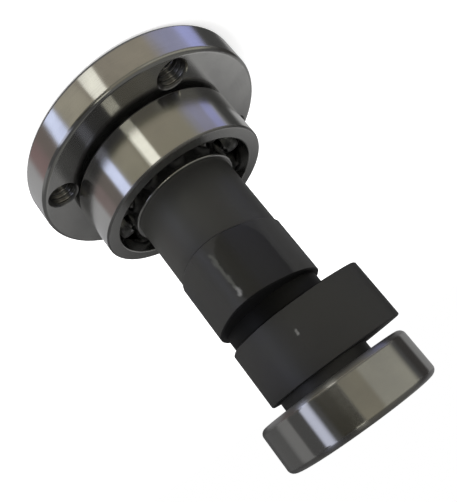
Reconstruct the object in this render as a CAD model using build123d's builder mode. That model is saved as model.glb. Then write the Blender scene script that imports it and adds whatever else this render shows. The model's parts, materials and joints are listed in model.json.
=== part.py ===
from build123d import *
from math import atan2, cos, degrees, radians, sin
import os

# Camshaft of a small four-stroke engine, with its drive flange and two ball bearings.
# It stands on the flange's back face: origin at that face's centre, +Z along the shaft
# to the small bearing, +X through the first tapped hole. Millimetres and degrees.

# Drive flange
flange_d = 48.2
flange_thickness = 6.4
flange_edge = 0.8
hub_d = 21.0
hub_height = 0.95
stub_d = 16.0
stub_recess = 0.4
hole_count = 4
hole_d = 5.0
hole_mouth_d = 6.2
hole_mouth_angle = 90.0
hole_rim_wall = 1.5

# Shaft
journal_d = 20.8
journal_length = 15.1
groove_d = 19.56
groove_width = 3.15
neck_d = 18.2
neck_length = 1.9
shaft_edge = 0.5
centre_hole_d = 1.6
centre_hole_depth = 4.0
centre_mouth_d = 3.4
centre_mouth_angle = 60.0

# Cam lobes: flank angle is where the flank leaves the base circle, from the nose
lobe_base_r = 10.7
lobe_edge = 0.2
lobe_1_width = 11.7
lobe_1_reach = 16.4
lobe_1_nose_r = 5.2
lobe_1_flank_angle = 84.0
lobe_1_turn_angle = 41.0
lobe_2_width = 11.5
lobe_2_reach = 16.2
lobe_2_nose_r = 4.0
lobe_2_flank_angle = 77.0
lobe_2_turn_angle = -47.3

# Large bearing, between the flange and the journal
big_bore_d = 17.0
big_outer_d = 35.0
big_width = 10.0
big_edge = 0.4
big_ball_count = 10
big_ball_turn_angle = 15.0

# Small bearing, on the shaft's end
small_bore_d = 10.0
small_outer_d = 30.0
small_width = 9.0
small_edge = 1.2
small_ball_count = 8
small_ball_turn_angle = 10.0

# Both bearings: the same balls, in races that cover part of them, and a riveted cage
ball_d = 4.76
race_clearance = 0.05
outer_race_depth = 0.5
inner_race_depth = 0.45
race_mouth_edge = 0.25
cage_sheet = 0.5
cage_width = 2.4
pocket_clearance = 0.12
rivet_d = 0.8
rivet_head_d = 1.4
rivet_head_height = 0.35

# Stations along the shaft, from the flange's back face
big_start = flange_thickness + hub_height
journal_start = big_start + big_width
lobe_1_start = journal_start + journal_length
groove_start = lobe_1_start + lobe_1_width
lobe_2_start = groove_start + groove_width
neck_start = lobe_2_start + lobe_2_width
small_start = neck_start + neck_length
shaft_end = small_start + small_width

# What follows from them: the holes stand in from the rim, and the balls run midway
# between each bearing's bore and its outside
hole_circle_d = flange_d - hole_d - 2 * hole_rim_wall
big_pitch_d = (big_bore_d + big_outer_d) / 2
small_pitch_d = (small_bore_d + small_outer_d) / 2
ball_r = ball_d / 2
race_r = ball_r + race_clearance
pocket_r = ball_r + pocket_clearance

os.makedirs("parts", exist_ok=True)


def save(part, name):
    """Label one finished piece and write it as its own file."""
    part.label = name
    export_step(part, f"parts/{name}.step")


def cam_lobe(start, width, reach, nose_r, flank_angle, turn):
    """One cam lobe: base circle, two round flanks and a nose, all tangent to each other."""
    nose_centre = reach - nose_r
    tangent = radians(flank_angle)
    flank_r = (
        lobe_base_r**2
        - nose_r**2
        + nose_centre**2
        - 2 * nose_centre * lobe_base_r * cos(tangent)
    ) / (2 * (lobe_base_r - nose_r - nose_centre * cos(tangent)))
    flank_x = (lobe_base_r - flank_r) * cos(tangent)
    flank_y = (lobe_base_r - flank_r) * sin(tangent)
    nose_angle = degrees(atan2(-flank_y, nose_centre - flank_x))
    sweep = flank_angle - nose_angle
    plane = Plane.XY.offset(start).rotated((0, 0, turn))
    with BuildPart() as lobe:
        with BuildSketch(plane):
            with BuildLine():
                CenterArc((0, 0), lobe_base_r, flank_angle, 360 - 2 * flank_angle)
                CenterArc((flank_x, -flank_y), flank_r, -flank_angle, sweep)
                CenterArc((nose_centre, 0), nose_r, -nose_angle, 2 * nose_angle)
                CenterArc((flank_x, flank_y), flank_r, nose_angle, sweep)
            make_face()
        extrude(amount=width)
        chamfer(lobe.faces().filter_by(GeomType.PLANE).edges(), lobe_edge)
    return lobe.part


# Shaft: one turned and ground bar with two lobes
lobe_1 = cam_lobe(
    lobe_1_start,
    lobe_1_width,
    lobe_1_reach,
    lobe_1_nose_r,
    lobe_1_flank_angle,
    lobe_1_turn_angle,
)
lobe_2 = cam_lobe(
    lobe_2_start,
    lobe_2_width,
    lobe_2_reach,
    lobe_2_nose_r,
    lobe_2_flank_angle,
    lobe_2_turn_angle,
)

with BuildPart() as camshaft:
    with BuildSketch(Plane.XZ):
        with BuildLine():
            Polyline(
                (0, stub_recess),
                (stub_d / 2 - shaft_edge, stub_recess),
                (stub_d / 2, stub_recess + shaft_edge),
                (stub_d / 2, big_start),
                (big_bore_d / 2, big_start),
                (big_bore_d / 2, journal_start),
                (journal_d / 2, journal_start),
                (journal_d / 2, groove_start - shaft_edge),
                (groove_d / 2, groove_start - shaft_edge),
                (groove_d / 2, lobe_2_start + shaft_edge),
                (neck_d / 2, lobe_2_start + shaft_edge),
                (neck_d / 2, small_start),
                (small_bore_d / 2, small_start),
                (small_bore_d / 2, shaft_end - shaft_edge),
                (small_bore_d / 2 - shaft_edge, shaft_end),
                (0, shaft_end),
                close=True,
            )
        make_face()
    revolve(axis=Axis.Z)
    add([lobe_1, lobe_2])
    flange_end = Plane((0, 0, stub_recess), z_dir=(0, 0, -1))
    with Locations(flange_end, Plane.XY.offset(shaft_end)):
        CounterSinkHole(
            centre_hole_d / 2, centre_mouth_d / 2, centre_hole_depth, centre_mouth_angle
        )
save(camshaft.part, "camshaft")


# Drive flange: pressed on the stub after the large bearing, whose inner ring its hub holds
with BuildPart() as drive_flange:
    with BuildSketch(Plane.XZ) as section:
        with BuildLine():
            Polyline(
                (stub_d / 2, 0),
                (flange_d / 2, 0),
                (flange_d / 2, flange_thickness),
                (hub_d / 2, flange_thickness),
                (hub_d / 2, big_start),
                (stub_d / 2, big_start),
                close=True,
            )
        make_face()
        fillet(section.vertices().group_by(Axis.X)[-1], flange_edge)
    revolve(axis=Axis.Z)
    back_face = Plane((0, 0, 0), x_dir=(1, 0, 0), z_dir=(0, 0, -1))
    with Locations(Plane.XY.offset(flange_thickness), back_face):
        with PolarLocations(hole_circle_d / 2, hole_count):
            CounterSinkHole(
                hole_d / 2, hole_mouth_d / 2, flange_thickness, hole_mouth_angle
            )
save(drive_flange.part, "drive_flange")


def bearing_ring(name, start, width, low_r, high_r, pitch_r, bore_edge, rim_edge):
    """One ring of a ball bearing, with its ball groove cut on the pitch circle."""
    middle = start + width / 2
    with BuildPart() as ring:
        with BuildSketch(Plane.XZ) as section:
            with Locations(((low_r + high_r) / 2, middle)):
                Rectangle(high_r - low_r, width)
            fillet(section.vertices().group_by(Axis.X)[0], bore_edge)
            fillet(section.vertices().group_by(Axis.X)[-1], rim_edge)
            with Locations((pitch_r, middle)):
                Circle(race_r, mode=Mode.SUBTRACT)
        revolve(axis=Axis.Z)
    save(ring.part, name)


def bearing_cage(name, middle, side, pitch_r, ball_count, ball_turn):
    """One pressed half of the ribbon cage: flat lands and a round pocket over each ball."""
    with BuildPart() as cage:
        plane = Plane.XY.offset(middle)
        with BuildSketch(plane):
            Circle(pitch_r + cage_width / 2)
            Circle(pitch_r - cage_width / 2, mode=Mode.SUBTRACT)
        extrude(amount=side * cage_sheet)
        with Locations(plane):
            with PolarLocations(pitch_r, ball_count, start_angle=ball_turn):
                Sphere(pocket_r + cage_sheet)
        with BuildSketch(plane):
            Circle(pitch_r + cage_width / 2)
            Circle(pitch_r - cage_width / 2, mode=Mode.SUBTRACT)
        extrude(amount=side * (pocket_r + cage_sheet), mode=Mode.INTERSECT)
        with Locations(plane):
            with PolarLocations(pitch_r, ball_count, start_angle=ball_turn):
                Sphere(pocket_r, mode=Mode.SUBTRACT)
            with PolarLocations(
                pitch_r, ball_count, start_angle=ball_turn + 180 / ball_count
            ):
                Cylinder(rivet_d / 2, 4 * cage_sheet, mode=Mode.SUBTRACT)
    save(cage.part, name)


def at_pitch(pitch_r, angle, z):
    """A plane on the pitch circle, square to the shaft."""
    return Plane((pitch_r * cos(radians(angle)), pitch_r * sin(radians(angle)), z))


def bearing_ball(name, pitch_r, angle, middle):
    """One ball, in its cage pocket."""
    with BuildPart() as ball:
        with Locations(at_pitch(pitch_r, angle, middle)):
            Sphere(ball_r)
    save(ball.part, name)


def cage_rivet(name, pitch_r, angle, middle):
    """One rivet, whose heads hold the two halves of the cage together."""
    with BuildPart() as rivet:
        with Locations(at_pitch(pitch_r, angle, middle)):
            Cylinder(rivet_d / 2, 2 * cage_sheet)
            for side in (-1, 1):
                with Locations((0, 0, side * (cage_sheet + rivet_head_height / 2))):
                    Cylinder(rivet_head_d / 2, rivet_head_height)
    save(rivet.part, name)


def ball_bearing(
    name, start, width, bore_d, outer_d, edge, pitch_d, ball_count, ball_turn
):
    """All the pieces of one open ball bearing."""
    middle = start + width / 2
    pitch_r = pitch_d / 2
    inner_land_r = pitch_r - ball_r + inner_race_depth
    outer_land_r = pitch_r + ball_r - outer_race_depth
    bearing_ring(
        f"{name}_inner_ring",
        start,
        width,
        bore_d / 2,
        inner_land_r,
        pitch_r,
        edge,
        race_mouth_edge,
    )
    bearing_ring(
        f"{name}_outer_ring",
        start,
        width,
        outer_land_r,
        outer_d / 2,
        pitch_r,
        race_mouth_edge,
        edge,
    )
    bearing_cage(f"{name}_cage_front", middle, 1, pitch_r, ball_count, ball_turn)
    bearing_cage(f"{name}_cage_back", middle, -1, pitch_r, ball_count, ball_turn)
    step = 360 / ball_count
    for index in range(ball_count):
        angle = ball_turn + index * step
        bearing_ball(f"{name}_ball_{index + 1:02d}", pitch_r, angle, middle)
        cage_rivet(f"{name}_rivet_{index + 1:02d}", pitch_r, angle + step / 2, middle)


ball_bearing(
    "big_bearing",
    big_start,
    big_width,
    big_bore_d,
    big_outer_d,
    big_edge,
    big_pitch_d,
    big_ball_count,
    big_ball_turn_angle,
)
ball_bearing(
    "small_bearing",
    small_start,
    small_width,
    small_bore_d,
    small_outer_d,
    small_edge,
    small_pitch_d,
    small_ball_count,
    small_ball_turn_angle,
)
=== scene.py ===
import json
from math import cos, pi, radians, sin, tan

import bmesh
import bpy
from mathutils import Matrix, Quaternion, Vector


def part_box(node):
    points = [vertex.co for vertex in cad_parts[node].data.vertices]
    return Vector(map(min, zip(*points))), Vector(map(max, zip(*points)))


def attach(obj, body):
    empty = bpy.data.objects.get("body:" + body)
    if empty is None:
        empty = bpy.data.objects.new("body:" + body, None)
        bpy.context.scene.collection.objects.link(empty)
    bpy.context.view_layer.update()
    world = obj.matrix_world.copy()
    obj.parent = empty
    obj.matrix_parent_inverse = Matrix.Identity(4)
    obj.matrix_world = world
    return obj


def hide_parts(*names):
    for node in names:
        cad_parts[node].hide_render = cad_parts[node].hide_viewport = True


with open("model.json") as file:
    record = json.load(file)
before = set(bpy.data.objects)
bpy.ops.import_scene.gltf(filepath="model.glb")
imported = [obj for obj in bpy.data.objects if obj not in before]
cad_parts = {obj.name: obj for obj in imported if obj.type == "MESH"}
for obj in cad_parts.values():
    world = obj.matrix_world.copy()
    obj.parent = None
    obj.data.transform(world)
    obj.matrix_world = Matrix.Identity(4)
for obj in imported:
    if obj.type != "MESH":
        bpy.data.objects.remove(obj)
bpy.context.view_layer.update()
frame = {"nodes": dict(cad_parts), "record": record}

# A camshaft of a small four-stroke engine, standing on its drive flange: the finish of its
# steels, the thread in the flange's holes, a pale floor, soft light and the photograph's view.
# Lengths are metres, as in the frame, and MM turns millimetres into them.
MM = 0.001

# The photograph's camera: beside the small bearing, rolled so that the shaft runs down to
# the right, with the shift that the photograph's crop left
PHOTO_WIDTH = 457
PHOTO_HEIGHT = 502
CAMERA_PLACE = Vector((84.36, 53.71, 63.3)) * MM
CAMERA_TARGET = Vector((-5.35, 11.31, 39.33)) * MM
CAMERA_ROLL = 143.56
FOCAL_PIXELS = 559.4
VANISHING_X = 200.1
VANISHING_Y = 327.8
SENSOR = 36.0

# The floor just under the flange, and the lamp over the part
FLOOR_DROP = 0.02 * MM
FLOOR_SIZE = 3.0
FLOOR_COLOUR = (0.8, 0.8, 0.8, 1)
FLOOR_GLOW = 0.45
LAMP_PLACE = Vector((-0.10, 0.30, 0.45))
LAMP_SIZE = 0.45
LAMP_POWER = 4.0

# The thread in the flange's holes: M6, cut from its 5 mm core by a ridge that starts a little
# inside the open hole
THREAD_OUTER_D = 6.0 * MM
THREAD_PITCH = 1.0 * MM
THREAD_ROOT_FLAT = THREAD_PITCH / 8
THREAD_FLANK_ANGLE = 30
THREAD_OVERREACH = 0.15 * MM
THREAD_STEPS = 40

# The flange's shading: the weld of its mesh, the angle of a sharp edge, what counts as a flat
# end face, the margin at the rim where those faces end, and their weight over other faces
WELD_DISTANCE = 0.0005 * MM
SHARP_ANGLE = 32
FLAT_FACE_TILT = 0.9999
FLAT_FACE_MARGIN = 0.85 * MM
FLAT_FACE_WEIGHT = 16384

# Painted light and shade on the coat: a painted paler band and a painted dark reflection on the
# first lobe's flank, a streak along its nose that is partly rubbed and partly a painted highlight,
# and a painted glint on the second lobe. Each runs from a start to an end, with its inner and outer
# half width, its colour along most of its run and its colour at the end
COAT_PAINTED_LIGHT_MARKS = (
    # Painted light: a paler band down the first lobe's flank
    (
        Vector((11.3, -3.8, 34.0)) * MM,
        Vector((11.3, -3.8, 43.0)) * MM,
        2.6 * MM,
        4.8 * MM,
        (0.026, 0.026, 0.025, 1),
        (0.026, 0.026, 0.024, 1),
    ),
    # Painted shade: a dark reflection painted on the first lobe's flank beside its nose
    (
        Vector((13.9, 5.1, 37.2)) * MM,
        Vector((13.9, 5.1, 43.0)) * MM,
        4.9 * MM,
        5.4 * MM,
        (0.0035, 0.0033, 0.0028, 1),
        (0.0030, 0.0028, 0.0022, 1),
    ),
    # Partly rubbed coat, partly painted highlight: the streak along the first lobe's nose, brightest
    # at its end
    (
        Vector((12.8, 10.33, 34.8)) * MM,
        Vector((12.94, 10.19, 42.6)) * MM,
        0.05 * MM,
        0.55 * MM,
        (0.040, 0.041, 0.036, 1),
        (0.12, 0.12, 0.12, 1),
    ),
    # Painted highlight: a glint on the second lobe
    (
        Vector((9.85, 4.65, 51.6)) * MM,
        Vector((9.9, 4.55, 52.1)) * MM,
        0.1 * MM,
        0.45 * MM,
        (0.10, 0.10, 0.095, 1),
        (0.12, 0.12, 0.115, 1),
    ),
)
MARK_WANDER = 1.0 * MM
MARK_WANDER_SIZE = 1.2 * MM
MARK_END_SHARE = (0.75, 0.95)

# The coat: two close tones in soft patches, pale grain, the paler journal, and painted shade in the
# groove, with less sheen there
COAT_TONES = ((0.0125, 0.0122, 0.0134, 1), (0.0150, 0.0147, 0.0130, 1))
COAT_GRAIN = (0.020, 0.0195, 0.019, 1)
COAT_ROUGHNESS = (0.47, 0.53)
COAT_IOR = 1.7
COAT_SHEEN = 0.5
COAT_PATCH_SIZE = 9 * MM
COAT_GRAIN_SIZE = 0.12 * MM
COAT_LINES_PER_MM = 2.5
COAT_LINE_WANDER = 4
COAT_RELIEF = 0.002 * MM
JOURNAL_END = 32.45 * MM
JOURNAL_FADE = 0.6 * MM
JOURNAL_COAT = (0.0225, 0.0223, 0.0200, 1)
GROOVE_ENDS = (44.0 * MM, 47.4 * MM)
GROOVE_FADE = 0.1 * MM
# Painted shade: the colour that darkens the groove between the lobes
GROOVE_SHADE = (0.0012, 0.0012, 0.0014, 1)
GROOVE_SHEEN = 0.22

# Ground steel, with grooves round the axis, painted shade darkening the bolt holes and duller
# corners. A quarter turn of the anisotropy spreads what the steel mirrors across the grooves
FLANGE_TONES = ((0.54, 0.535, 0.52, 1), (0.50, 0.495, 0.485, 1))
RING_TONES = ((0.54, 0.535, 0.52, 1), (0.51, 0.505, 0.495, 1))
FLANGE_LINES_PER_MM = 6
RING_LINES_PER_MM = 9
GROUND_ROUGHNESS = (0.13, 0.18)
GROUND_LINE_DEPTH = 0.0001 * MM
GROUND_LINE_WANDER = 6
GROUND_PATCH_SIZE = 6 * MM
GROUND_ANISOTROPY = 0.95
GROUND_TURN = 0.25
# Painted shade inside the bolt holes: its colour, its roughness and how far it reaches
HOLE_SHADE = (0.20, 0.195, 0.19, 1)
HOLE_SHADE_ROUGHNESS = 0.14
HOLE_SHADE_REACH = (0.55 * MM, 0.35 * MM)
CORNER_STEEL = (0.34, 0.335, 0.33, 1)
CORNER_ROUGHNESS = 0.20
CORNER_FROM_FACE = (0.08, 0.25)
CORNER_TO_RIM = (0.995, 0.95)

# The cages' pressed strip and the balls' polish
CAGE_TONES = ((0.19, 0.19, 0.185, 1), (0.13, 0.13, 0.13, 1))
CAGE_ROUGHNESS = (0.26, 0.40)
CAGE_PATCH_SIZE = 0.8 * MM
CAGE_DIMPLE_SIZE = 0.25 * MM
CAGE_RELIEF = 0.002 * MM
BALL_TONES = ((0.36, 0.355, 0.35, 1), (0.30, 0.295, 0.29, 1))
BALL_ROUGHNESS = (0.04, 0.09)
BALL_FILM_SIZE = 1.5 * MM

# The noise in every finish, from 0 to 1: its detail, and the ranges over which patches and
# grain come in
NOISE_DETAIL = 3.0
PATCH_RANGE = (0.3, 0.7)
GROUND_SHADE_RANGE = (0.35, 0.7)
GRAIN_RANGE = (0.55, 0.8)


def add_node(tree, kind, **settings):
    """A new shader node with its settings."""
    made = tree.nodes.new(kind)
    for name, value in settings.items():
        setattr(made, name, value)
    return made


def feed(tree, target, value):
    """Join an output to a socket, or set the socket's own value."""
    if isinstance(value, bpy.types.NodeSocket):
        tree.links.new(value, target)
    else:
        target.default_value = value


def work_out(tree, operation, *values):
    """One sum on plain numbers."""
    made = add_node(tree, "ShaderNodeMath", operation=operation)
    for target, value in zip(made.inputs, values):
        feed(tree, target, value)
    return made.outputs[0]


def vector_sum(tree, operation, *values):
    """One sum on vectors, as its node's outputs Vector and Value."""
    made = add_node(tree, "ShaderNodeVectorMath", operation=operation)
    for target, value in zip(made.inputs, values):
        feed(tree, target, value)
    return made.outputs


def coordinates(tree, value):
    """The X, Y and Z of a vector."""
    made = add_node(tree, "ShaderNodeSeparateXYZ")
    feed(tree, made.inputs[0], value)
    return made.outputs


def object_place(tree):
    """A place on a piece, in the frame's metres."""
    return add_node(tree, "ShaderNodeTexCoord").outputs["Object"]


def from_axis(tree, place):
    """A place without its height: the way from the shaft's axis to it."""
    return vector_sum(tree, "MULTIPLY", place, (1, 1, 0))["Vector"]


def ramp(tree, value, low, high, low_result=0.0, high_result=1.0):
    """A number that goes smoothly from one result to another between two values."""
    made = add_node(tree, "ShaderNodeMapRange", interpolation_type="SMOOTHSTEP")
    for target, number in zip(made.inputs, (value, low, high, low_result, high_result)):
        feed(tree, target, number)
    return made.outputs[0]


def mix(tree, share, first, second):
    """Two colours mixed by a share of the second."""
    made = add_node(tree, "ShaderNodeMix", data_type="RGBA")
    colours = [socket for socket in made.inputs if socket.type == "RGBA"]
    feed(tree, made.inputs[0], share)
    feed(tree, colours[0], first)
    feed(tree, colours[1], second)
    return next(socket for socket in made.outputs if socket.type == "RGBA")


def grey(level):
    """A neutral colour."""
    return (level, level, level, 1)


def add_camera():
    """The photograph's camera."""
    data = bpy.data.cameras.new("photo_camera")
    data.sensor_width = SENSOR
    data.lens = FOCAL_PIXELS / PHOTO_HEIGHT * SENSOR
    data.shift_x = (PHOTO_WIDTH / 2 - VANISHING_X) / PHOTO_HEIGHT
    data.shift_y = (VANISHING_Y - PHOTO_HEIGHT / 2) / PHOTO_HEIGHT
    data.clip_start = 5 * MM
    camera = bpy.data.objects.new("photo_camera", data)
    facing = (CAMERA_TARGET - CAMERA_PLACE).to_track_quat("-Z", "Y")
    camera.rotation_mode = "QUATERNION"
    camera.rotation_quaternion = facing @ Quaternion((0, 0, 1), radians(CAMERA_ROLL))
    camera.location = CAMERA_PLACE
    bpy.context.scene.collection.objects.link(camera)
    bpy.context.scene.camera = camera


# What metal mirrors: what stands round the part in the studio, from under it to over it. Each
# height has a plain wall and the strips before it: name, azimuth, half width and softness in
# degrees, and colour. They were set until the steel looked as in the photograph
STUDIO_UNDER = (
    (0.17, 0.17, 0.17, 1),
    (),
)
STUDIO_LOW = (
    (0.50, 0.50, 0.51, 1),
    (
        ("grey_wall", -135, 22, 6, (0.40, 0.40, 0.40, 1)),
        ("shadow_wall", -166, 8, 8, (0.28, 0.28, 0.28, 1)),
        ("warm_wall", 8, 67, 8, (0.445, 0.40, 0.325, 1)),
        ("warm_card", 61, 14, 8, (0.56, 0.52, 0.42, 1)),
        ("lavender_glow", -55, 22, 22, (0.44, 0.45, 0.66, 1)),
        ("lavender_window", -68, 9, 3, (0.56, 0.60, 1.08, 1)),
        ("black_flag", -96, 18, 5, (0.077, 0.077, 0.077, 1)),
        ("warm_lamp", 34.5, 7.5, 2, (1.62, 1.60, 1.42, 1)),
        ("cool_lamp", 84.5, 7.5, 3, (1.22, 1.34, 1.78, 1)),
        ("brown_flag", 104, 10, 6, (0.25, 0.21, 0.19, 1)),
        ("pink_card", 123, 10, 10, (0.33, 0.225, 0.22, 1)),
    ),
)
STUDIO_MIDDLE = (
    (0.50, 0.50, 0.51, 1),
    (
        ("grey_wall", -130, 30, 14, (0.50, 0.50, 0.50, 1)),
        ("warm_wall", 8, 67, 8, (0.31, 0.295, 0.205, 1)),
        ("lavender_glow", -50, 14, 20, (0.37, 0.36, 0.47, 1)),
        ("lavender_window", -64, 6, 6, (0.42, 0.43, 0.72, 1)),
        ("black_flag", -89, 12, 14, (0.072, 0.072, 0.070, 1)),
        ("warm_lamp", 32.5, 6.5, 2, (1.80, 1.78, 1.55, 1)),
        ("cool_lamp", 83, 6.5, 4, (1.22, 1.34, 1.78, 1)),
        ("brown_flag", 102, 10, 6, (0.22, 0.20, 0.185, 1)),
        ("pink_card", 118, 8, 10, (0.29, 0.25, 0.24, 1)),
    ),
)
STUDIO_LEVEL = (
    (0.097, 0.097, 0.097, 1),
    (
        ("grey_wall", -115, 22, 8, (0.27, 0.27, 0.27, 1)),
        ("shadow_wall", 150, 24, 8, (0.132, 0.132, 0.132, 1)),
        ("black_flag", -86, 10, 10, (0.057, 0.054, 0.052, 1)),
        ("warm_wall", -22, 42, 14, (0.44, 0.43, 0.365, 1)),
        ("warm_shade", 12, 15, 8, (0.31, 0.29, 0.225, 1)),
        ("olive_flag", 45, 16, 10, (0.049, 0.046, 0.034, 1)),
        ("grey_screen", 117, 14, 14, (0.25, 0.25, 0.25, 1)),
        ("lavender_lamp", 79.5, 4, 14, (0.84, 0.88, 1.07, 1)),
        ("grey_flag", 98, 11, 4, (0.097, 0.097, 0.097, 1)),
    ),
)
STUDIO_HIGH = (
    (0.112, 0.112, 0.112, 1),
    (
        ("pale_wall", -160, 28, 20, (0.30, 0.30, 0.30, 1)),
        ("grey_wall", -126, 12, 10, (0.55, 0.55, 0.55, 1)),
        ("shadow_wall", -147.5, 8, 8, (0.05, 0.05, 0.05, 1)),
        ("warm_wall", -2, 28, 10, (0.17, 0.16, 0.13, 1)),
        ("black_flag", 88, 42, 8, (0.080, 0.080, 0.082, 1)),
        ("warm_lamp", 34.5, 7.5, 2, (1.34, 1.32, 1.12, 1)),
    ),
)
STUDIO_OVER = (
    (0.17, 0.17, 0.16, 1),
    (("dark_boom", 72, 40, 16, (0.075, 0.075, 0.075, 1)),),
)

# The elevations between which each height takes over from the one below
STUDIO_HEIGHTS = (
    (STUDIO_LOW, (-50, -42)),
    (STUDIO_MIDDLE, (-32, -29.5)),
    (STUDIO_LEVEL, (-26, -18)),
    (STUDIO_HIGH, (16, 38)),
    (STUDIO_OVER, (40, 48)),
)

# A dark card before them, just below level: azimuth, half width and softness, then where
# its lower and its upper edge fade
CARD_ROUND = (-8, 66, 10)
CARD_LOWER = (-22, -18)
CARD_UPPER = (-7, -3)
CARD_COLOUR = (0.17, 0.165, 0.155, 1)

# The plain light that surfaces other than mirrors get from all round
PLAIN_LEVEL = 0.85


def faces_strip(tree, level, azimuth, half_width, softness):
    """How far a level direction lies inside an upright strip."""
    middle = (cos(radians(azimuth)), sin(radians(azimuth)), 0)
    towards = vector_sum(tree, "DOT_PRODUCT", level, middle)["Value"]
    outside = cos(radians(half_width + softness / 2))
    inside = cos(radians(max(half_width - softness / 2, 0)))
    return ramp(tree, towards, outside, inside)


def climbs(tree, height, elevations):
    """How far a direction has climbed from one elevation to another."""
    low, high = (sin(radians(elevation)) for elevation in elevations)
    return ramp(tree, height, low, high)


def studio_band(tree, level, band):
    """The wall and the strips of one height."""
    colour, strips = band
    for _, azimuth, half_width, softness, strip_colour in strips:
        inside = faces_strip(tree, level, azimuth, half_width, softness)
        colour = mix(tree, inside, colour, strip_colour)
    return colour


def studio_light(tree):
    """What metal mirrors: a studio with lamps, cards and flags that stand upright."""
    direction = add_node(tree, "ShaderNodeTexCoord").outputs["Generated"]
    level = vector_sum(tree, "NORMALIZE", from_axis(tree, direction))["Vector"]
    height = coordinates(tree, direction)["Z"]
    colour = studio_band(tree, level, STUDIO_UNDER)
    for band, rise in STUDIO_HEIGHTS:
        colour = mix(tree, climbs(tree, height, rise), colour, studio_band(tree, level, band))
    above_lower = climbs(tree, height, CARD_LOWER)
    below_upper = work_out(tree, "SUBTRACT", 1.0, climbs(tree, height, CARD_UPPER))
    card = work_out(tree, "MULTIPLY", above_lower, below_upper)
    card = work_out(tree, "MULTIPLY", card, faces_strip(tree, level, *CARD_ROUND))
    return mix(tree, card, colour, CARD_COLOUR)


def light_world():
    """White to the camera, plain to matt surfaces, and the studio to metal.

    The photograph's background was cut out, and its steel mirrors dark and olive surroundings
    with two bright lights. So glossy rays get the studio, and not the white that the camera sees.
    """
    world = bpy.data.worlds.new("studio")
    bpy.context.scene.world = world
    world.use_nodes = True
    tree = world.node_tree
    tree.nodes.clear()
    ray = add_node(tree, "ShaderNodeLightPath")
    mirrored = mix(tree, ray.outputs["Is Glossy Ray"], grey(PLAIN_LEVEL), studio_light(tree))
    seen = mix(tree, ray.outputs["Is Camera Ray"], mirrored, grey(1))
    light = add_node(tree, "ShaderNodeBackground")
    feed(tree, light.inputs["Color"], seen)
    out = add_node(tree, "ShaderNodeOutputWorld")
    tree.links.new(light.outputs[0], out.inputs["Surface"])


def floor_finish():
    """Pale paper that takes a soft shadow and looks white to the camera."""
    material = bpy.data.materials.new("floor_paper")
    material.use_nodes = True
    tree = material.node_tree
    tree.nodes.clear()
    ray = add_node(tree, "ShaderNodeLightPath")
    matt = add_node(tree, "ShaderNodeBsdfDiffuse")
    matt.inputs["Color"].default_value = FLOOR_COLOUR
    glow = add_node(tree, "ShaderNodeEmission")
    shown = work_out(tree, "MULTIPLY", ray.outputs["Is Camera Ray"], FLOOR_GLOW)
    feed(tree, glow.inputs["Strength"], shown)
    both = add_node(tree, "ShaderNodeAddShader")
    tree.links.new(matt.outputs[0], both.inputs[0])
    tree.links.new(glow.outputs[0], both.inputs[1])
    out = add_node(tree, "ShaderNodeOutputMaterial")
    tree.links.new(both.outputs[0], out.inputs["Surface"])
    return material


def add_floor():
    """The floor that the part stands on. Metal doesn't mirror it, as with the white round it."""
    half = FLOOR_SIZE / 2
    mesh = bpy.data.meshes.new("floor")
    square = ((-half, -half), (half, -half), (half, half), (-half, half))
    mesh.from_pydata([(x, y, -FLOOR_DROP) for x, y in square], [], [(0, 1, 2, 3)])
    mesh.materials.append(floor_finish())
    floor = bpy.data.objects.new("floor", mesh)
    floor.visible_glossy = False
    bpy.context.scene.collection.objects.link(floor)


def add_lamp():
    """One large soft lamp, for form and for the part's shadow on the floor."""
    data = bpy.data.lights.new("soft_lamp", "AREA")
    data.shape = "DISK"
    data.size = LAMP_SIZE
    data.energy = LAMP_POWER
    lamp = bpy.data.objects.new("soft_lamp", data)
    lamp.location = LAMP_PLACE
    lamp.rotation_mode = "QUATERNION"
    lamp.rotation_quaternion = (-LAMP_PLACE).to_track_quat("-Z", "Y")
    lamp.visible_glossy = False
    bpy.context.scene.collection.objects.link(lamp)


def new_material(name):
    """A material, its node tree and its shader."""
    material = bpy.data.materials.new(name)
    material.use_nodes = True
    tree = material.node_tree
    return material, tree, tree.nodes["Principled BSDF"]


def turned_lines(tree, per_mm, wander):
    """Fine lines from turning or grinding about the shaft's axis, which fade in and out round it."""
    place = object_place(tree)
    away = from_axis(tree, place)
    radius = vector_sum(tree, "LENGTH", away)["Value"]
    around = coordinates(tree, vector_sum(tree, "NORMALIZE", away)["Vector"])
    height = coordinates(tree, place)["Z"]
    joined = add_node(tree, "ShaderNodeCombineXYZ")
    feed(tree, joined.inputs["X"], work_out(tree, "MULTIPLY", around["X"], wander))
    feed(tree, joined.inputs["Y"], work_out(tree, "MULTIPLY", around["Y"], wander))
    feed(tree, joined.inputs["Z"], work_out(tree, "MULTIPLY", height, per_mm / MM))
    noise = add_node(tree, "ShaderNodeTexNoise", noise_dimensions="4D")
    feed(tree, noise.inputs["Vector"], joined.outputs[0])
    feed(tree, noise.inputs["W"], work_out(tree, "MULTIPLY", radius, per_mm / MM))
    noise.inputs["Scale"].default_value = 1.0
    noise.inputs["Detail"].default_value = NOISE_DETAIL
    return noise.outputs[0]


def cloud(tree, size):
    """Soft patches of about a size."""
    noise = add_node(tree, "ShaderNodeTexNoise")
    feed(tree, noise.inputs["Vector"], object_place(tree))
    noise.inputs["Scale"].default_value = 1 / size
    noise.inputs["Detail"].default_value = NOISE_DETAIL
    return noise.outputs[0]


def add_bump(tree, shader, height, depth):
    """Relief of a real depth."""
    bump = add_node(tree, "ShaderNodeBump")
    bump.inputs["Strength"].default_value = 1.0
    bump.inputs["Distance"].default_value = depth
    feed(tree, bump.inputs["Height"], height)
    tree.links.new(bump.outputs[0], shader.inputs["Normal"])


def rougher(tree, roughness, share, amount):
    """A roughness with an amount added where a share says."""
    return work_out(tree, "ADD", roughness, work_out(tree, "MULTIPLY", share, amount))


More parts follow.
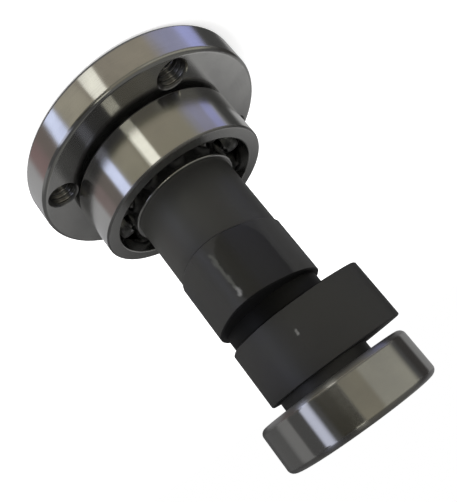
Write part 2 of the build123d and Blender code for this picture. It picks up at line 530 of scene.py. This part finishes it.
def on_outer_corner(tree):
    """How far a place lies on a turned ring's rounded outer corner, between its face and its rim."""
    place = add_node(tree, "ShaderNodeTexCoord").outputs
    outward = vector_sum(tree, "NORMALIZE", from_axis(tree, place["Object"]))["Vector"]
    facing = vector_sum(tree, "DOT_PRODUCT", outward, place["Normal"])["Value"]
    off_face = ramp(tree, facing, *CORNER_FROM_FACE)
    off_rim = ramp(tree, facing, *CORNER_TO_RIM)
    return work_out(tree, "MULTIPLY", off_face, off_rim)


def ground_steel(name, tones, lines_per_mm, bolts=None, corners=False):
    """Bright steel, ground or fine turned about the shaft's axis, with faint handling marks.

    The grooves run round the axis, so what the steel mirrors is blurred across them only.
    Painted shade darkens the bolt holes, where there are any, and rounded outer corners can be
    left dull, as turned.
    """
    material, tree, shader = new_material(name)
    lines = turned_lines(tree, lines_per_mm, GROUND_LINE_WANDER)
    patches = cloud(tree, GROUND_PATCH_SIZE)
    spread = work_out(tree, "MULTIPLY", work_out(tree, "ADD", lines, patches), 0.5)
    body = mix(tree, ramp(tree, patches, *GROUND_SHADE_RANGE), *tones)
    roughness = ramp(tree, spread, *PATCH_RANGE, *GROUND_ROUGHNESS)
    if bolts:
        # Painted shade: the inside of the bolt holes is darkened and made rougher
        hole_shade = inside_bolt_hole(tree, bolts["pcd_mm"] * MM / 2, bolts["hole_r_mm"] * MM)
        body = mix(tree, hole_shade, body, HOLE_SHADE)
        roughness = rougher(tree, roughness, hole_shade, HOLE_SHADE_ROUGHNESS)
    if corners:
        corner = on_outer_corner(tree)
        body = mix(tree, corner, body, CORNER_STEEL)
        roughness = rougher(tree, roughness, corner, CORNER_ROUGHNESS)
    feed(tree, shader.inputs["Base Color"], body)
    feed(tree, shader.inputs["Roughness"], roughness)
    shader.inputs["Metallic"].default_value = 1.0
    shader.inputs["Anisotropic"].default_value = GROUND_ANISOTROPY
    shader.inputs["Anisotropic Rotation"].default_value = GROUND_TURN
    tangent = add_node(tree, "ShaderNodeTangent", direction_type="RADIAL", axis="Z")
    tree.links.new(tangent.outputs[0], shader.inputs["Tangent"])
    add_bump(tree, shader, lines, GROUND_LINE_DEPTH)
    return material


def inside_bolt_hole(tree, circle_r, hole_r):
    """How far a place of the flange lies inside one of its four holes, which are on X and Y."""
    parts = coordinates(tree, vector_sum(tree, "ABSOLUTE", object_place(tree))["Vector"])
    along = work_out(tree, "MAXIMUM", parts["X"], parts["Y"])
    across = work_out(tree, "MINIMUM", parts["X"], parts["Y"])
    away = add_node(tree, "ShaderNodeCombineXYZ")
    feed(tree, away.inputs["X"], work_out(tree, "SUBTRACT", along, circle_r))
    feed(tree, away.inputs["Y"], across)
    gap = vector_sum(tree, "LENGTH", away.outputs[0])["Value"]
    outer, inner = HOLE_SHADE_REACH
    return ramp(tree, gap, hole_r + outer, hole_r + inner)


def how_near(tree, place, start, end, near, far):
    """How near a place is to a line between two points of the part, and how far along it."""
    run = end - start
    away = vector_sum(tree, "SUBTRACT", place, start)["Vector"]
    along = vector_sum(tree, "DOT_PRODUCT", away, run / run.length_squared)["Value"]
    share = add_node(tree, "ShaderNodeClamp")
    feed(tree, share.inputs["Value"], along)
    foot = vector_sum(tree, "MULTIPLY_ADD", run, share.outputs[0], start)["Vector"]
    gap = vector_sum(tree, "DISTANCE", place, foot)["Value"]
    return ramp(tree, gap, far, near), share.outputs[0]


def pressed_steel(name):
    """The cage's strip steel: bright, a little mottled by the press."""
    material, tree, shader = new_material(name)
    patches = cloud(tree, CAGE_PATCH_SIZE)
    feed(tree, shader.inputs["Base Color"], mix(tree, patches, *CAGE_TONES))
    feed(tree, shader.inputs["Roughness"], ramp(tree, patches, *PATCH_RANGE, *CAGE_ROUGHNESS))
    shader.inputs["Metallic"].default_value = 1.0
    add_bump(tree, shader, cloud(tree, CAGE_DIMPLE_SIZE), CAGE_RELIEF)
    return material


def polished_steel(name):
    """The balls' mirror finish under a thin film of oil."""
    material, tree, shader = new_material(name)
    film = cloud(tree, BALL_FILM_SIZE)
    feed(tree, shader.inputs["Base Color"], mix(tree, film, *BALL_TONES))
    feed(tree, shader.inputs["Roughness"], ramp(tree, film, *PATCH_RANGE, *BALL_ROUGHNESS))
    shader.inputs["Metallic"].default_value = 1.0
    return material


def dark_coat(name):
    """The shaft's dark heat-treated and oiled skin, with the lathe's lines under it, and light and
    shade painted on the lobes and in the groove.
    """
    material, tree, shader = new_material(name)
    patches = cloud(tree, COAT_PATCH_SIZE)
    grain = cloud(tree, COAT_GRAIN_SIZE)
    lines = turned_lines(tree, COAT_LINES_PER_MM, COAT_LINE_WANDER)
    body = mix(tree, ramp(tree, patches, *PATCH_RANGE), *COAT_TONES)
    body = mix(tree, ramp(tree, grain, *GRAIN_RANGE), body, COAT_GRAIN)
    place = object_place(tree)
    height = coordinates(tree, place)["Z"]
    on_journal = ramp(tree, height, JOURNAL_END, JOURNAL_END - JOURNAL_FADE)
    body = mix(tree, on_journal, body, JOURNAL_COAT)

    shift = (MARK_WANDER, -MARK_WANDER, 0)
    wander = vector_sum(tree, "MULTIPLY_ADD", cloud(tree, MARK_WANDER_SIZE), shift, place)["Vector"]
    # Painted light and shade on the lobes, laid over the coat's own colour
    for start, end, near, far, run_colour, end_colour in COAT_PAINTED_LIGHT_MARKS:
        mark, share = how_near(tree, wander, start, end, near, far)
        colour = mix(tree, ramp(tree, share, *MARK_END_SHARE), run_colour, end_colour)
        body = mix(tree, mark, body, colour)

    # Painted shade: the groove between the lobes, with the lobe ends beside it, is darkened and
    # given less sheen
    low, high = GROOVE_ENDS
    over_low = ramp(tree, height, low - GROOVE_FADE, low)
    under_high = ramp(tree, height, high + GROOVE_FADE, high)
    in_groove = work_out(tree, "MULTIPLY", over_low, under_high)
    body = mix(tree, in_groove, body, GROOVE_SHADE)
    sheen = ramp(tree, in_groove, 0.0, 1.0, COAT_SHEEN, GROOVE_SHEEN)

    feed(tree, shader.inputs["Base Color"], body)
    feed(tree, shader.inputs["Roughness"], ramp(tree, patches, *PATCH_RANGE, *COAT_ROUGHNESS))
    feed(tree, shader.inputs["Specular IOR Level"], sheen)
    shader.inputs["IOR"].default_value = COAT_IOR
    relief = work_out(tree, "ADD", lines, work_out(tree, "MULTIPLY", grain, 0.5))
    add_bump(tree, shader, relief, COAT_RELIEF)
    return material


def dress(material, *starts):
    """Give a material to every CAD node whose name starts so."""
    for name, node in frame["nodes"].items():
        if name.startswith(starts):
            for place in node.material_slots:
                place.material = material


def thread_cutter(mesh, centre, hole_r, low, high):
    """The tap's 60 degree helix down one hole, added to a mesh as a closed ridge."""
    inner = hole_r - THREAD_OVERREACH
    outer = THREAD_OUTER_D / 2
    crest = THREAD_ROOT_FLAT / 2
    foot = crest + (outer - inner) * tan(radians(THREAD_FLANK_ANGLE))
    section = ((inner, -foot), (outer, -crest), (outer, crest), (inner, foot))
    turns = (high - low) / THREAD_PITCH
    rings = []
    for step in range(round(turns * THREAD_STEPS) + 1):
        angle = 2 * pi * step / THREAD_STEPS
        climb = low + THREAD_PITCH * step / THREAD_STEPS
        around = Vector((cos(angle), sin(angle), 0))
        axis = centre + Vector((0, 0, climb))
        rings.append([mesh.verts.new(axis + around * r + Vector((0, 0, z))) for r, z in section])
    corners = len(section)
    for below, above in zip(rings, rings[1:]):
        for i in range(corners):
            j = (i + 1) % corners
            mesh.faces.new((below[i], below[j], above[j], above[i]))
    mesh.faces.new(rings[0][::-1])
    mesh.faces.new(rings[-1])


def keep_flat(mesh, within_r):
    """Keep the shading of the flat end faces flat up to the holes' mouths, within a radius."""
    shape = bmesh.new()
    shape.from_mesh(mesh)
    for edge in shape.edges:
        flat = [abs(face.normal.z) > FLAT_FACE_TILT for face in edge.link_faces]
        middle = (edge.verts[0].co + edge.verts[1].co) / 2
        if any(flat) and not all(flat) and middle.xy.length < within_r:
            edge.smooth = False
    shape.to_mesh(mesh)
    shape.free()


def threaded_flange(material, bolts):
    """The drive flange with its four holes tapped, where the record's bolt pattern has them."""
    low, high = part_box("drive_flange")
    start = low.z - THREAD_PITCH
    end = high.z + THREAD_PITCH
    cutter_mesh = bmesh.new()
    for hole in range(bolts["count"]):
        angle = 2 * pi * hole / bolts["count"]
        centre = Vector((cos(angle), sin(angle), 0)) * bolts["pcd_mm"] * MM / 2
        thread_cutter(cutter_mesh, centre, bolts["hole_r_mm"] * MM, start, end)
    bmesh.ops.recalc_face_normals(cutter_mesh, faces=cutter_mesh.faces)
    cutter_data = bpy.data.meshes.new("thread_cutter")
    cutter_mesh.to_mesh(cutter_data)
    cutter_mesh.free()
    cutter = bpy.data.objects.new("thread_cutter", cutter_data)
    bpy.context.scene.collection.objects.link(cutter)

    body = bmesh.new()
    body.from_mesh(frame["nodes"]["drive_flange"].data)
    bmesh.ops.remove_doubles(body, verts=body.verts, dist=WELD_DISTANCE)
    data = bpy.data.meshes.new("tapped_flange")
    body.to_mesh(data)
    body.free()
    flange = bpy.data.objects.new("tapped_flange", data)
    bpy.context.scene.collection.objects.link(flange)
    cut = flange.modifiers.new("thread", "BOOLEAN")
    cut.operation = "DIFFERENCE"
    cut.solver = "EXACT"
    cut.object = cutter
    bpy.context.view_layer.update()
    graph = bpy.context.evaluated_depsgraph_get()
    tapped = bpy.data.meshes.new_from_object(flange.evaluated_get(graph))
    flange.modifiers.clear()
    bpy.data.objects.remove(cutter)
    tapped.materials.clear()
    tapped.materials.append(material)
    weights = tapped.attributes.new("__mod_weightednormals_faceweight", "INT", "FACE")
    for face, weight in zip(tapped.polygons, weights.data):
        face.use_smooth = True
        face.material_index = 0
        weight.value = FLAT_FACE_WEIGHT if abs(face.normal.z) > FLAT_FACE_TILT else 0
    tapped.set_sharp_from_angle(angle=radians(SHARP_ANGLE))
    keep_flat(tapped, high.x - FLAT_FACE_MARGIN)
    flange.data = tapped
    weigh = flange.modifiers.new("flat_faces_stay_flat", "WEIGHTED_NORMAL")
    weigh.keep_sharp = True
    weigh.use_face_influence = True
    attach(flange, "shaft")
    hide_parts("drive_flange")


bpy.context.scene.view_settings.view_transform = "Standard"
add_camera()
light_world()
add_floor()
add_lamp()

mounts = frame["record"]["mounts"]
bolt_holes = next(mount["dims"] for mount in mounts if mount["name"] == "sprocket_bolts")
flange_finish = ground_steel("flange_finish", FLANGE_TONES, FLANGE_LINES_PER_MM, bolts=bolt_holes)
inner_ring_finish = ground_steel("inner_ring_finish", RING_TONES, RING_LINES_PER_MM)
outer_ring_finish = ground_steel("outer_ring_finish", RING_TONES, RING_LINES_PER_MM, corners=True)
cage_finish = pressed_steel("cage_finish")
dress(dark_coat("shaft_coat"), "camshaft")
dress(flange_finish, "drive_flange")
dress(inner_ring_finish, "big_bearing_inner", "small_bearing_inner")
dress(outer_ring_finish, "big_bearing_outer", "small_bearing_outer")
dress(cage_finish, "big_bearing_cage", "small_bearing_cage")
dress(cage_finish, "big_bearing_rivet", "small_bearing_rivet")
dress(polished_steel("ball_finish"), "big_bearing_ball", "small_bearing_ball")
threaded_flange(flange_finish, bolt_holes)
